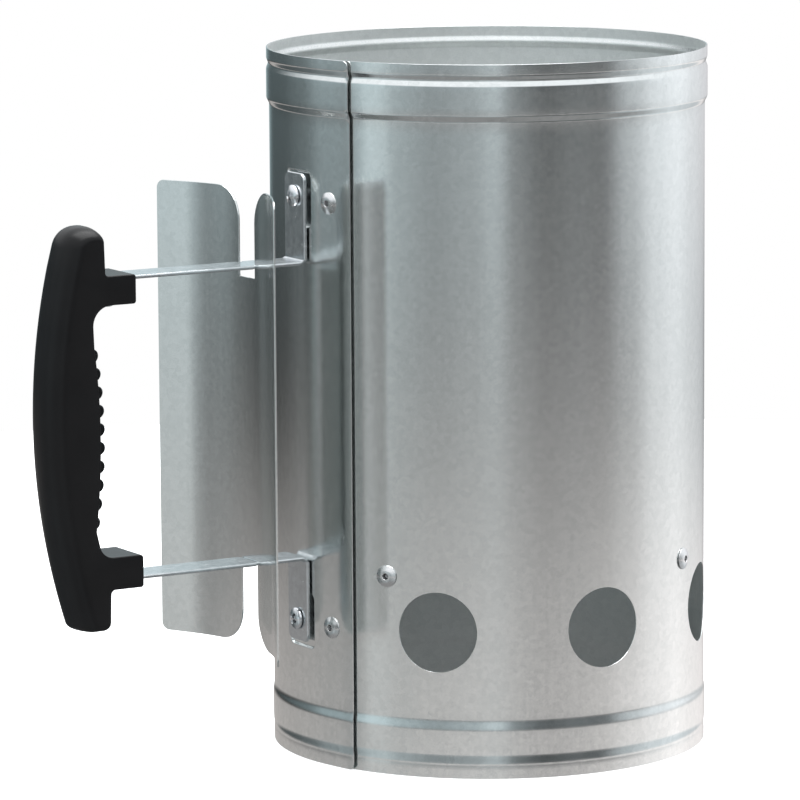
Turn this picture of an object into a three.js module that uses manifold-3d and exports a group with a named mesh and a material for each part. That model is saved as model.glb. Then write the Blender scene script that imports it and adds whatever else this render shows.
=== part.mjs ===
// Chimney charcoal starter. A sheet is rolled into a chimney and riveted along its lap. A perforated
// fire grate is riveted across it, and two bent straps carry a heat shield and a moulded grip.
// Millimetres, +Z up, standing on Z = 0 with the handle towards -X and the origin under the middle.
import * as THREE from "three";
import { mergeVertices } from "three/addons/utils/BufferGeometryUtils.js";
import Module from "manifold-3d";

const wasm = await Module();
wasm.setup();

const GAP = 0.3; // left between pieces that touch
const RIGHT_ANGLE = Math.PI / 2;

// The rolled chimney. Its sheet spirals outwards by one thickness and one gap per turn, so that its
// ends lap. Angles count from +X, and the handle stands at 180 degrees.
const HEIGHT = 305;
const WALL_RADIUS = 94.6;
const SHEET = 0.6;
const LAP_INNER_EDGE = 188.5;
const LAP_OUTER_EDGE = 360 + 201;
const FACET_DEGREES = 5;
const HANDLE_ANGLE = 180;

// Near each rim the sheet is rolled outwards: how far the rim, the bead and the neck between them
// stand out from the wall.
const RIMS = {
  bottom: { flare: 0.3, neck: 0, bead: 0.7 },
  top: { flare: 1.1, neck: 0.3, bead: 1.2 },
};
const BEAD_SLOPE = 2.4;
const BEAD_START = 6.8; // from the nearer rim to where the bead starts to rise
const BEAD_END = 24.2; // and to where it is back in the wall

// The draught holes keep one pitch between them, and the one under the handle is left out.
const VENT_RADIUS = 17.3;
const VENT_HEIGHT = 63;
const VENT_PITCH = 45;

// The fire grate stands on four tabs, riveted to the wall.
const GRATE_TOP = 93;
const GRATE_SHEET = 1;
const GRATE_RADIUS = 92.4;
const GRATE_HOLE_RADIUS = 7.8;
const GRATE_HOLE_PITCH = 24;
const GRATE_RINGS = 3;
const TAB_FACE = 92.9;
const TAB_WIDTH = 14;
const TAB_DROP = 13;
const GRATE_RIVET_HEIGHT = 86;
const GRATE_RIVET_ANGLES = [210.7, 300.7, 390.7, 480.7];

// Blind rivets.
const RIVET_SHANK_RADIUS = 1.6;
const RIVET_FLANGE_RADIUS = 4.7;
const RIVET_HOLE_RADIUS = RIVET_SHANK_RADIUS + GAP;
const RIVET_BORE_RADIUS = 1.2;
const SEAM_RIVET_ANGLE = 360 + 193.2;
const SEAM_RIVET_HEIGHTS = { upper: 243.8, lower: 60.6 };

// The straps: flat bar, bent once, with the long arm level and the short leg over the wall's pocket.
const STRAP_WIDTH = 16;
const STRAP_THICKNESS = 1.6;
const STRAP_END = 194.4;
const LEG_FACE = 95.3; // just clear of the wall
const POCKET_FLOOR = 93.7; // from the chimney's axis to the flat floor's outer face
const POCKET_WIDTH = 22.5;
const STRAPS = {
  upper: { arm: 216.9, legEnd: 255, screw: 245.3, pocketLow: 232, pocketHigh: 256.4 },
  lower: { arm: 88.8, legEnd: 52.2, screw: 61.6, pocketLow: 49.1, pocketHigh: 73.2 },
};
const SCREW_RADIUS = 2.4;
const SCREW_HOLE_RADIUS = SCREW_RADIUS + 0.35;
const SCREW_HEAD_RADIUS = 4.7;
const SCREW_HEAD_HEIGHT = 2.4;
const SCREW_TIP = 86.2;
const WASHER_THICKNESS = 1;
const WASHER_RADIUS = 5;
const NUT_THICKNESS = 4;
const NUT_CORNER_RADIUS = 4.62;

// The heat shield: a sheet bent round the hand's side, with a slot at each end for its strap.
const SHIELD_FACE = 119.3; // from the chimney's axis to the sheet's near face, on the handle's line
const SHIELD_SHEET = 0.8;
const SHIELD_HALF_WIDTH = 51.3;
const SHIELD_BEND_RADIUS = 85;
const SHIELD_WING_ANGLE = THREE.MathUtils.degToRad(27);
const SHIELD_LOW = 52.5;
const SHIELD_HIGH = 249.8;
const SHIELD_CORNER = 3.5;
const SLOT_HALF_WIDTH = 7;
const SLOT_MOUTH_RADIUS = 14.5;
const UPPER_SLOT_END = 212.1;
const NOTCH_HALF_WIDTH = SLOT_HALF_WIDTH - 0.4;
const NOTCH_START = 118.5;
const NOTCH_END = 121.4;

// The moulded grip, with a lug at each end for its strap, a crowned back and finger ribs.
const GRIP_WIDTH = 24;
const GRIP_LOW = 67.8;
const GRIP_HIGH = 239.2;
// Each end of the grip: its lug's height and reach, and its inner face beyond the lug, both from the
// chimney's axis.
const LUGS = {
  upper: { low: 206.2, high: 218.7, end: 179.8, face: 194.1 },
  lower: { low: 85.2, high: 99.2, end: 177.9, face: 193.2 },
};
const CROWN_REACH = 221.4;
const CROWN_RADIUS = 275;
const CROWN_MIDDLE = 157;
const CROWN_DEPTH = 8.5;
const PALM_REACH = 197.3; // the inner face between the lugs, from the chimney's axis
const PALM_RADIUS = 310;
const PALM_MIDDLE = 150;
const THUMB_REACH = 197; // the flat below the lowest rib
const RIB_COUNT = 10;
const RIB_RADIUS = 2.7;
const RIB_PITCH = 7.88;
const RIB_LOW = 114.3;
const RIB_TIP_REACH = 193.5;
const RIB_TIP_RADIUS = 220;
const GRIP_SCREW_REACH = 187.5;
const GRIP_SCREW_RADIUS = 1.6;
const GRIP_SCREW_LENGTH = 12;
const GRIP_SCREW_HOLE_RADIUS = GRIP_SCREW_RADIUS + 0.35;

const galvanised = new THREE.MeshStandardMaterial({ color: 0xb6bcba, roughness: 0.38, metalness: 0.9 });
const zincPlate = new THREE.MeshStandardMaterial({ color: 0xc6cccf, roughness: 0.3, metalness: 0.95 });
const aluminium = new THREE.MeshStandardMaterial({ color: 0xc4c6c8, roughness: 0.3, metalness: 0.95 });
const rawSteel = new THREE.MeshStandardMaterial({ color: 0x8a8c8e, roughness: 0.45, metalness: 0.9 });
const blackPlastic = new THREE.MeshStandardMaterial({ color: 0x1d1e20, roughness: 0.55, metalness: 0 });

// A closed geometry as a solid that can be joined and cut.
function solid(geometry) {
  const bare = new THREE.BufferGeometry();
  bare.setAttribute("position", geometry.getAttribute("position"));
  bare.setIndex(geometry.index);
  const merged = mergeVertices(bare, 1e-4);
  const corners = merged.index.array;
  const triVerts = [];
  for (let i = 0; i < corners.length; i += 3) {
    const [a, b, c] = corners.subarray(i, i + 3);
    if (a !== b && b !== c && c !== a) triVerts.push(a, b, c);
  }
  const mesh = new wasm.Mesh({
    numProp: 3,
    vertProperties: merged.attributes.position.array,
    triVerts: new Uint32Array(triVerts),
  });
  return new wasm.Manifold(mesh);
}

// A solid back as a geometry with flat faces.
function geometryOf(shape) {
  const { vertProperties, triVerts } = shape.getMesh();
  const indexed = new THREE.BufferGeometry();
  indexed.setAttribute("position", new THREE.BufferAttribute(vertProperties, 3));
  indexed.setIndex(new THREE.BufferAttribute(triVerts, 1));
  const flat = indexed.toNonIndexed();
  flat.computeVertexNormals();
  return flat;
}

function part(name, shape, material) {
  const mesh = new THREE.Mesh(geometryOf(shape), material);
  mesh.name = name;
  return mesh;
}

// A box between two corners.
function block(x0, x1, y0, y1, z0, z1) {
  const box = new THREE.BoxGeometry(x1 - x0, y1 - y0, z1 - z0);
  return box.translate((x0 + x1) / 2, (y0 + y1) / 2, (z0 + z1) / 2);
}

// A body turned about the X axis from [radius, x] points.
function turned(profile, segments) {
  const points = profile.map(([radius, x]) => new THREE.Vector2(radius, x));
  return new THREE.LatheGeometry(points, segments).rotateZ(-RIGHT_ANGLE);
}

// A round bar along X.
function bar(radius, x0, x1, segments) {
  return turned([[0, x0], [radius, x0], [radius, x1], [0, x1]], segments);
}

// An outline through [x, y, radius] corners, each rounded by an arc of its radius.
function rounded(corners) {
  const outline = new THREE.Shape();
  corners.forEach(([x, y, radius = 0], i) => {
    const corner = new THREE.Vector2(x, y);
    if (radius === 0) {
      outline[i === 0 ? "moveTo" : "lineTo"](x, y);
      return;
    }
    const before = corners[(i + corners.length - 1) % corners.length];
    const after = corners[(i + 1) % corners.length];
    const back = new THREE.Vector2(before[0], before[1]).sub(corner).normalize();
    const on = new THREE.Vector2(after[0], after[1]).sub(corner).normalize();
    const half = Math.acos(back.dot(on)) / 2;
    const middle = back.clone().add(on).setLength(radius / Math.sin(half)).add(corner);
    const start = back.multiplyScalar(radius / Math.tan(half)).add(corner);
    const end = on.multiplyScalar(radius / Math.tan(half)).add(corner);
    outline[i === 0 ? "moveTo" : "lineTo"](start.x, start.y);
    const from = start.clone().sub(middle);
    const to = end.clone().sub(middle);
    outline.absarc(middle.x, middle.y, radius, from.angle(), to.angle(), from.cross(to) < 0);
  });
  return outline;
}

function ring(x, y, radius, count) {
  const path = new THREE.Path();
  path.setFromPoints(
    Array.from({ length: count }, (_, i) => {
      const turn = (2 * Math.PI * i) / count;
      return new THREE.Vector2(x + radius * Math.cos(turn), y + radius * Math.sin(turn));
    }),
  );
  return path;
}

// An outline in the XZ plane, extruded along Y and centred on it.
function sideExtrusion(outline, width, curveSegments) {
  const extrusion = new THREE.ExtrudeGeometry(outline, { depth: width, bevelEnabled: false, curveSegments });
  return extrusion.translate(0, 0, -width / 2).rotateX(RIGHT_ANGLE);
}

// An outline of [across, height] points, extruded along X from x0 to x1.
function faceExtrusion(outline, x0, x1, curveSegments) {
  const options = { depth: x1 - x0, bevelEnabled: false, curveSegments };
  const extrusion = new THREE.ExtrudeGeometry(outline, options);
  return extrusion.rotateX(RIGHT_ANGLE).rotateZ(RIGHT_ANGLE).translate(x0, 0, 0);
}

// The outer surface's radius where the sheet has been rolled as far as an angle.
function wallRadius(degrees) {
  const middle = (LAP_INNER_EDGE + LAP_OUTER_EDGE) / 2;
  return WALL_RADIUS + ((SHEET + GAP) * (degrees - middle)) / 360;
}

class RolledSheet extends THREE.Curve {
  getPoint(t, target = new THREE.Vector3()) {
    const degrees = THREE.MathUtils.lerp(LAP_INNER_EDGE, LAP_OUTER_EDGE, t);
    const angle = THREE.MathUtils.degToRad(degrees);
    const radius = wallRadius(degrees);
    return target.set(radius * Math.cos(angle), radius * Math.sin(angle), 0);
  }
}

// The section near a rim, as [distance from the rim, step out from the wall].
function rimSection({ flare, neck, bead }) {
  return [
    [0, flare],
    [BEAD_START, neck],
    [BEAD_START + BEAD_SLOPE, bead],
    [BEAD_END - BEAD_SLOPE, bead],
    [BEAD_END, 0],
  ];
}

// The whole sheet's section as [height, step out from the wall].
function wallSection() {
  const top = rimSection(RIMS.top).map(([distance, step]) => [HEIGHT - distance, step]);
  return [...rimSection(RIMS.bottom), ...top.reverse()];
}

// A swept outline's x runs down and its y runs inwards along a path that turns level to the left.
function rolledWall() {
  const outer = wallSection().map(([height, step]) => new THREE.Vector2(-height, -step));
  const inner = outer.map((point) => new THREE.Vector2(point.x, point.y + SHEET)).reverse();
  const steps = Math.round((LAP_OUTER_EDGE - LAP_INNER_EDGE) / FACET_DEGREES);
  return new THREE.ExtrudeGeometry(new THREE.Shape([...outer, ...inner]), {
    steps,
    extrudePath: new RolledSheet(),
  });
}

// A geometry made along +X, turned to stand out from the chimney at an angle and a height.
function outwards(geometry, degrees, height) {
  return solid(geometry.rotateZ(THREE.MathUtils.degToRad(degrees)).translate(0, 0, height));
}

// A round cutter that goes right through the wall and ends short of the chimney's middle.
function wallCutter(radius, degrees, height, segments) {
  return outwards(bar(radius, WALL_RADIUS - 12, WALL_RADIUS + 12, segments), degrees, height);
}

// The wall pressed in to a flat-floored pocket, one sheet thick, behind the end of a strap's leg.
function withPocket(shell, { screw, pocketLow, pocketHigh }) {
  const half = POCKET_WIDTH / 2;
  const beyond = WALL_RADIUS + 5;
  const pocket = block(POCKET_FLOOR, beyond, -half, half, pocketLow, pocketHigh);
  const pan = block(
    POCKET_FLOOR - SHEET,
    beyond,
    -half - SHEET,
    half + SHEET,
    pocketLow - SHEET,
    pocketHigh + SHEET,
  );
  const middleOfSheet = wallRadius(HANDLE_ANGLE + 360) - SHEET / 2;
  const chimney = solid(bar(middleOfSheet, 0, HEIGHT, 240).rotateY(-RIGHT_ANGLE));
  return shell
    .add(outwards(pan, HANDLE_ANGLE, 0).intersect(chimney))
    .subtract(outwards(pocket, HANDLE_ANGLE, 0))
    .subtract(wallCutter(SCREW_HOLE_RADIUS, HANDLE_ANGLE, screw, 16));
}

function outerShell() {
  let shell = Object.values(STRAPS).reduce(withPocket, solid(rolledWall()));
  for (let degrees = HANDLE_ANGLE + VENT_PITCH; degrees < HANDLE_ANGLE + 360; degrees += VENT_PITCH) {
    shell = shell.subtract(wallCutter(VENT_RADIUS, degrees, VENT_HEIGHT, 32));
  }
  const rivetHoles = [
    ...GRATE_RIVET_ANGLES.map((degrees) => [degrees, GRATE_RIVET_HEIGHT]),
    ...Object.values(SEAM_RIVET_HEIGHTS).map((height) => [SEAM_RIVET_ANGLE, height]),
  ];
  for (const [degrees, height] of rivetHoles) {
    shell = shell.subtract(wallCutter(RIVET_HOLE_RADIUS, degrees, height, 12));
  }
  return part("outer_shell", shell, galvanised);
}

function fireGrate() {
  const disc = new THREE.Shape(ring(0, 0, GRATE_RADIUS, 60).getPoints());
  disc.holes.push(ring(0, 0, GRATE_HOLE_RADIUS, 12));
  for (let circle = 1; circle <= GRATE_RINGS; circle += 1) {
    for (let i = 0; i < 6 * circle; i += 1) {
      const angle = (Math.PI * i) / (3 * circle);
      const reach = circle * GRATE_HOLE_PITCH;
      disc.holes.push(ring(reach * Math.cos(angle), reach * Math.sin(angle), GRATE_HOLE_RADIUS, 12));
    }
  }
  const plate = new THREE.ExtrudeGeometry(disc, { depth: GRATE_SHEET, bevelEnabled: false });
  let grate = solid(plate.translate(0, 0, GRATE_TOP - GRATE_SHEET));
  for (const degrees of GRATE_RIVET_ANGLES) {
    const half = TAB_WIDTH / 2;
    const tab = block(TAB_FACE - GRATE_SHEET, TAB_FACE, -half, half, GRATE_TOP - TAB_DROP, GRATE_TOP);
    grate = grate.add(outwards(tab, degrees, 0));
    grate = grate.subtract(wallCutter(RIVET_HOLE_RADIUS, degrees, GRATE_RIVET_HEIGHT, 12));
  }
  return part("fire_grate", grate, galvanised);
}

// A set blind rivet along X, with its flange on the wall at x = 0 and its tail behind the stack.
function rivetSleeve(stack) {
  const tail = -stack - GAP;
  const profile = [
    [RIVET_BORE_RADIUS, tail - 2.6],
    [2, tail - 2.6],
    [2.6, tail - 1.3],
    [2.2, tail],
    [RIVET_SHANK_RADIUS, tail],
    [RIVET_SHANK_RADIUS, GAP],
    [RIVET_FLANGE_RADIUS, GAP],
    [RIVET_FLANGE_RADIUS - 0.2, GAP + 0.5],
    [3, GAP + 1.1],
    [RIVET_BORE_RADIUS + 0.1, GAP + 1.3],
    [RIVET_BORE_RADIUS, GAP + 1.1],
    [RIVET_BORE_RADIUS, tail - 2.6],
  ];
  return solid(turned(profile, 16));
}

// The mandrel left in a set rivet: its stem broken off in the bore, its head behind the tail.
function rivetMandrel(stack) {
  const seat = -stack - GAP - 2.6 - GAP;
  const stem = RIVET_BORE_RADIUS - 0.35;
  const profile = [
    [0, seat - 1.6],
    [1, seat - 1.4],
    [1.5, seat - 0.7],
    [1.5, seat],
    [stem, seat],
    [stem, 0.2],
    [0, 0.2],
  ];
  return solid(turned(profile, 10));
}

// A rivet and its mandrel, set in the wall at an angle and a height.
function rivet(name, degrees, height, stack) {
  const set = new THREE.Group();
  set.rotation.z = THREE.MathUtils.degToRad(degrees);
  const pieces = [
    part(name, rivetSleeve(stack), aluminium),
    part(`${name}_mandrel`, rivetMandrel(stack), rawSteel),
  ];
  for (const piece of pieces) {
    piece.position.set(wallRadius(degrees), 0, height);
    set.add(piece);
  }
  return set;
}

// The shield's sheet seen from above: a shallow bend that runs out into two flat wings, which are
// longer here than the finished shield is wide.
function shieldPlan() {
  const centre = SHIELD_FACE + SHIELD_BEND_RADIUS;
  const nearRadius = SHIELD_BEND_RADIUS;
  const farRadius = SHIELD_BEND_RADIUS - SHIELD_SHEET;
  const [left, right] = [Math.PI - SHIELD_WING_ANGLE, Math.PI + SHIELD_WING_ANGLE];
  const reach = SHIELD_HALF_WIDTH + 5;
  const wingTip = (radius, side) => {
    const rise = (reach * Math.sin(SHIELD_WING_ANGLE) - radius) / Math.cos(SHIELD_WING_ANGLE);
    return [centre + rise, side * reach];
  };
  const plan = new THREE.Shape();
  plan.moveTo(...wingTip(nearRadius, -1));
  plan.absarc(centre, 0, nearRadius, right, left, true);
  plan.lineTo(...wingTip(nearRadius, 1));
  plan.lineTo(...wingTip(farRadius, 1));
  plan.absarc(centre, 0, farRadius, left, right, false);
  plan.lineTo(...wingTip(farRadius, -1));
  return plan;
}

function heatShield() {
  const bent = new THREE.ExtrudeGeometry(shieldPlan(), {
    depth: HEIGHT,
    bevelEnabled: false,
    curveSegments: 5,
  });
  const lowerSlotEnd = STRAPS.lower.arm + STRAP_THICKNESS / 2 + GAP;
  const half = [
    [SLOT_HALF_WIDTH, lowerSlotEnd, 1],
    [SLOT_HALF_WIDTH, SHIELD_LOW, SLOT_MOUTH_RADIUS],
    [SHIELD_HALF_WIDTH, SHIELD_LOW, SHIELD_CORNER],
    [SHIELD_HALF_WIDTH, SHIELD_HIGH, SHIELD_CORNER],
    [SLOT_HALF_WIDTH, SHIELD_HIGH, SLOT_MOUTH_RADIUS],
    [SLOT_HALF_WIDTH, UPPER_SLOT_END, 1],
  ];
  const otherHalf = half.map(([across, height, radius]) => [-across, height, radius]).reverse();
  const face = rounded([...half, ...otherHalf]);
  const blank = faceExtrusion(face, SHIELD_FACE - 10, SHIELD_FACE + 30, 3);
  return part("heat_shield", solid(bent).intersect(solid(blank)), galvanised);
}

// One strap, from its leg on the wall to its end inside the grip.
function handleStrap(name, { arm, legEnd, screw }) {
  const up = Math.sign(legEnd - arm);
  const back = arm - (up * STRAP_THICKNESS) / 2;
  const front = arm + (up * STRAP_THICKNESS) / 2;
  const side = rounded([
    [STRAP_END, back],
    [STRAP_END, front],
    [LEG_FACE + STRAP_THICKNESS, front, 1],
    [LEG_FACE + STRAP_THICKNESS, legEnd],
    [LEG_FACE, legEnd],
    [LEG_FACE, back, 1 + STRAP_THICKNESS],
  ]);
  const half = STRAP_WIDTH / 2;
  const tongue = rounded([
    [-half, arm - up * STRAP_WIDTH],
    [half, arm - up * STRAP_WIDTH],
    [half, legEnd, 3],
    [-half, legEnd, 3],
  ]);
  const blank = faceExtrusion(tongue, LEG_FACE - 5, STRAP_END + 5, 2);
  let strap = solid(sideExtrusion(side, STRAP_WIDTH, 2)).intersect(solid(blank));
  for (const edge of [-1, 1]) {
    const [y0, y1] = [edge * NOTCH_HALF_WIDTH, edge * STRAP_WIDTH].sort((a, b) => a - b);
    strap = strap.subtract(solid(block(NOTCH_START, NOTCH_END, y0, y1, arm - 5, arm + 5)));
  }
  const legHole = bar(SCREW_HOLE_RADIUS, LEG_FACE - 5, LEG_FACE + 5, 16).translate(0, 0, screw);
  const gripHole = bar(GRIP_SCREW_HOLE_RADIUS, -5, 5, 12).rotateY(RIGHT_ANGLE);
  strap = strap.subtract(solid(legHole));
  strap = strap.subtract(solid(gripHole.translate(GRIP_SCREW_REACH, 0, arm)));
  return part(name, strap, zincPlate);
}

// A cross recess, sunk from the top of a screw's head, whose top is at x.
function crossRecess(x, reach, depth) {
  const wing = (width, length) => block(x - depth, x + 1, -width / 2, width / 2, -length / 2, length / 2);
  return solid(wing(1.1, 2 * reach)).add(solid(wing(2 * reach, 1.1)));
}

// The strap's pan-head screw along X, head outwards.
function strapScrew() {
  const seat = LEG_FACE + STRAP_THICKNESS + GAP;
  const top = seat + SCREW_HEAD_HEIGHT;
  const profile = [
    [0, SCREW_TIP],
    [SCREW_RADIUS - 0.5, SCREW_TIP],
    [SCREW_RADIUS, SCREW_TIP + 0.7],
    [SCREW_RADIUS, seat],
    [SCREW_HEAD_RADIUS, seat],
    [SCREW_HEAD_RADIUS, seat + 0.8],
    [SCREW_HEAD_RADIUS - 0.9, top - 0.6],
    [SCREW_HEAD_RADIUS - 2.4, top],
    [0, top],
  ];
  return solid(turned(profile, 16)).subtract(crossRecess(top, 2.6, 1.6));
}

function strapWasher() {
  const outer = POCKET_FLOOR - SHEET - GAP;
  const inner = outer - WASHER_THICKNESS;
  const profile = [
    [SCREW_HOLE_RADIUS, inner],
    [WASHER_RADIUS, inner],
    [WASHER_RADIUS, outer],
    [SCREW_HOLE_RADIUS, outer],
    [SCREW_HOLE_RADIUS, inner],
  ];
  return solid(turned(profile, 16));
}

function strapNut() {
  const outer = POCKET_FLOOR - SHEET - GAP - WASHER_THICKNESS - GAP;
  const hexagon = bar(NUT_CORNER_RADIUS, outer - NUT_THICKNESS, outer, 6);
  return solid(hexagon).subtract(solid(bar(SCREW_HOLE_RADIUS, outer - NUT_THICKNESS - 1, outer + 1, 16)));
}

// The crown of the grip: everything inside the curved back, as wide as the grip.
function crownedBack() {
  const half = GRIP_WIDTH / 2;
  const shoulder = CROWN_RADIUS - CROWN_DEPTH;
  const hollow = CROWN_RADIUS - 2 * (CROWN_REACH - LUGS.lower.end);
  const section = [new THREE.Vector2(hollow, half), new THREE.Vector2(hollow, -half)];
  const steps = 8;
  for (let i = 0; i <= steps; i += 1) {
    const turn = (Math.PI * i) / steps;
    section.push(new THREE.Vector2(shoulder + CROWN_DEPTH * Math.sin(turn), -half * Math.cos(turn)));
  }
  section.push(section[0].clone());
  const crown = new THREE.LatheGeometry(section, 110);
  return solid(crown.translate(CROWN_REACH - CROWN_RADIUS, 0, CROWN_MIDDLE));
}

// The ends of some equal steps from one number to another.
function evenly(from, to, steps) {
  return Array.from({ length: steps + 1 }, (_, i) => from + ((to - from) * i) / steps);
}

// How far out a shallow arc lies at a height, given its middle and how far it reaches there.
function bulge(height, middle, reach, radius) {
  return reach + (height - middle) ** 2 / (2 * radius);
}

function gripOutline() {
  const { upper, lower } = LUGS;
  const beyond = 0.5; // the crown is cut to its own surface, inside this outline
  const back = (height) => beyond + bulge(height, CROWN_MIDDLE, CROWN_REACH, -CROWN_RADIUS);
  const palm = (height) => bulge(height, PALM_MIDDLE, PALM_REACH, PALM_RADIUS);
  const backLine = evenly(90, 210, 6).map((height) => [back(height), height]);
  const palmLine = evenly(180, 120, 4).map((height) => [palm(height), height]);
  return rounded([
    [lower.end, lower.low, 1],
    [lower.face, lower.low, 2],
    [lower.face, GRIP_LOW, 5.5],
    [back(GRIP_LOW), GRIP_LOW, 3.5],
    ...backLine,
    [back(GRIP_HIGH), GRIP_HIGH, 11],
    [upper.face, GRIP_HIGH, 5.5],
    [upper.face, upper.high, 1.5],
    [upper.end, upper.high, 1],
    [upper.end, upper.low, 1],
    [palm(upper.low) - 2, upper.low, 8.5],
    ...palmLine,
    [THUMB_REACH, RIB_LOW],
    [THUMB_REACH, lower.high, 6.5],
    [lower.end, lower.high, 1.5],
  ]);
}

function fingerRib(height) {
  const tip = bulge(height, PALM_MIDDLE, RIB_TIP_REACH, RIB_TIP_RADIUS);
  const rib = new THREE.CapsuleGeometry(RIB_RADIUS, GRIP_WIDTH - 4 - 2 * RIB_RADIUS, 2, 10);
  return solid(rib.translate(tip + RIB_RADIUS, 0, height));
}

function handleGrip() {
  let grip = solid(sideExtrusion(gripOutline(), GRIP_WIDTH, 3)).intersect(crownedBack());
  for (let i = 0; i < RIB_COUNT; i += 1) {
    grip = grip.add(fingerRib(RIB_LOW + i * RIB_PITCH));
  }
  for (const side of ["upper", "lower"]) {
    const { arm } = STRAPS[side];
    const half = STRAP_WIDTH / 2 + 0.4;
    const rise = STRAP_THICKNESS / 2 + GAP;
    const { low, end } = LUGS[side];
    const hole = bar(GRIP_SCREW_HOLE_RADIUS, -1, GRIP_SCREW_LENGTH + GAP, 12).rotateY(-RIGHT_ANGLE);
    grip = grip.subtract(solid(block(end - 5, STRAP_END + GAP, -half, half, arm - rise, arm + rise)));
    grip = grip.subtract(solid(hole.translate(GRIP_SCREW_REACH, 0, low)));
  }
  return part("handle_grip", grip, blackPlastic);
}

// The self-tapping screw that holds a strap in its lug, along +Z, with its head's seat at z = 0.
function gripScrew() {
  const tip = GRIP_SCREW_LENGTH - GAP;
  const profile = [
    [0, -2.4],
    [2, -2.4],
    [3.2, -1.6],
    [3.5, -GAP],
    [GRIP_SCREW_RADIUS, -GAP],
    [GRIP_SCREW_RADIUS, tip - 1.5],
    [0, tip],
  ];
  return solid(turned(profile, 12).rotateY(-RIGHT_ANGLE));
}

// The handle is made along +X and turned to face -X.
function handle() {
  const group = new THREE.Group();
  group.rotation.z = THREE.MathUtils.degToRad(HANDLE_ANGLE);
  group.add(heatShield(), handleGrip());
  for (const side of ["upper", "lower"]) {
    const fasteners = [
      part(`strap_screw_${side}`, strapScrew(), zincPlate),
      part(`strap_washer_${side}`, strapWasher(), zincPlate),
      part(`strap_nut_${side}`, strapNut(), zincPlate),
    ];
    for (const fastener of fasteners) {
      fastener.position.z = STRAPS[side].screw;
    }
    const screw = part(`grip_screw_${side}`, gripScrew(), rawSteel);
    screw.position.set(GRIP_SCREW_REACH, 0, LUGS[side].low);
    group.add(handleStrap(`handle_strap_${side}`, STRAPS[side]), ...fasteners, screw);
  }
  return group;
}

const chimney = new THREE.Group();
chimney.add(outerShell(), fireGrate(), handle());
const grateStack = wallRadius(GRATE_RIVET_ANGLES.at(-1)) - TAB_FACE + GRATE_SHEET;
GRATE_RIVET_ANGLES.forEach((degrees, i) => {
  chimney.add(rivet(`grate_rivet_${i + 1}`, degrees, GRATE_RIVET_HEIGHT, grateStack));
});
for (const [side, height] of Object.entries(SEAM_RIVET_HEIGHTS)) {
  chimney.add(rivet(`seam_rivet_${side}`, SEAM_RIVET_ANGLE, height, 2 * SHEET + GAP));
}

// The handle's plane is Y = 0. The handle reaches further than the wall behind it, so the chimney's
// axis stands off the middle.
const starter = new THREE.Group();
starter.add(chimney);
const bounds = new THREE.Box3().setFromObject(starter, true);
chimney.position.x = -(bounds.min.x + bounds.max.x) / 2;

export default starter;
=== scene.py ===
# Chimney charcoal starter: every CAD node is replaced by a finely made piece in the same place.
# Lengths are in metres. Places come from the frame, and each detail too small to read from it is a
# named value here. In local coordinates "out" is measured from the chimney's axis, "across" is along
# the wall and "up" is the height.
import math

import bmesh
import bpy
import numpy as np
from mathutils import Matrix, Vector
from mathutils.geometry import delaunay_2d_cdt


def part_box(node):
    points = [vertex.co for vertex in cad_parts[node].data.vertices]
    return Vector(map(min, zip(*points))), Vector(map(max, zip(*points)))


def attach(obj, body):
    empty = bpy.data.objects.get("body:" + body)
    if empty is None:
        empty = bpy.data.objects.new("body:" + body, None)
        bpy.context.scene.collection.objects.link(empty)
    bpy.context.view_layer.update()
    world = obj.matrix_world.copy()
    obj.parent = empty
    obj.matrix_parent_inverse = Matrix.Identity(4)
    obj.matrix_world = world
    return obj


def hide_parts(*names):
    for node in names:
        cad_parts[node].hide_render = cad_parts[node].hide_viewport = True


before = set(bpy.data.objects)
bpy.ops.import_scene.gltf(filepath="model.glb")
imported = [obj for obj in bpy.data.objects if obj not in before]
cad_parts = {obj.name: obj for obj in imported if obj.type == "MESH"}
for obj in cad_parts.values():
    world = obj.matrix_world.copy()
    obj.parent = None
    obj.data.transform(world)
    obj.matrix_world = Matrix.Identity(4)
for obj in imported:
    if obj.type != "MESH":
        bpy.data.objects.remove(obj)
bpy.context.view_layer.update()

MM = 0.001
HANDLE_ANGLE = 180.0
SIDES = ("upper", "lower")

grate_low, grate_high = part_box("fire_grate")
AXIS = (grate_low + grate_high) / 2
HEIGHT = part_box("outer_shell")[1].z

# The rolled wall. Its sheet spirals outwards from the inner lap edge to the outer one.
SHEET = 0.6 * MM
SPIRAL = 0.9 * MM
LAP_INNER = 188.5
LAP_OUTER = 561.0
# Where the sheet bends at each end of the wall: the rim ends, the bead starts, its flat face, its end.
BENDS = [4.6 * MM, 6.8 * MM, 9.2 * MM, 21.8 * MM, 24.2 * MM]
# How far the sheet stands out from the wall on a rim, at the start of its bead and on the bead, and
# how softly it bends.
BOTTOM_STEPS, BOTTOM_SOFTNESS = (0.1 * MM, 0.0, 0.4 * MM), 1.3 * MM
TOP_STEPS, TOP_SOFTNESS = (1.1 * MM, 0.3 * MM, 1.2 * MM), 0.5 * MM
LAP_SPRING = 0.7 * MM
LAP_SPRING_DEGREES = 9.0
LAP_CORNER = 2.4 * MM
WALL_RADIUS = (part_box("outer_shell")[1].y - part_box("outer_shell")[0].y) / 2 - TOP_STEPS[2] + 0.1 * MM

# The vents, on one pitch, with none under the handle.
VENT_RADIUS = 17.3 * MM
VENT_HEIGHT = 63 * MM
VENT_PITCH = 45.0

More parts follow.
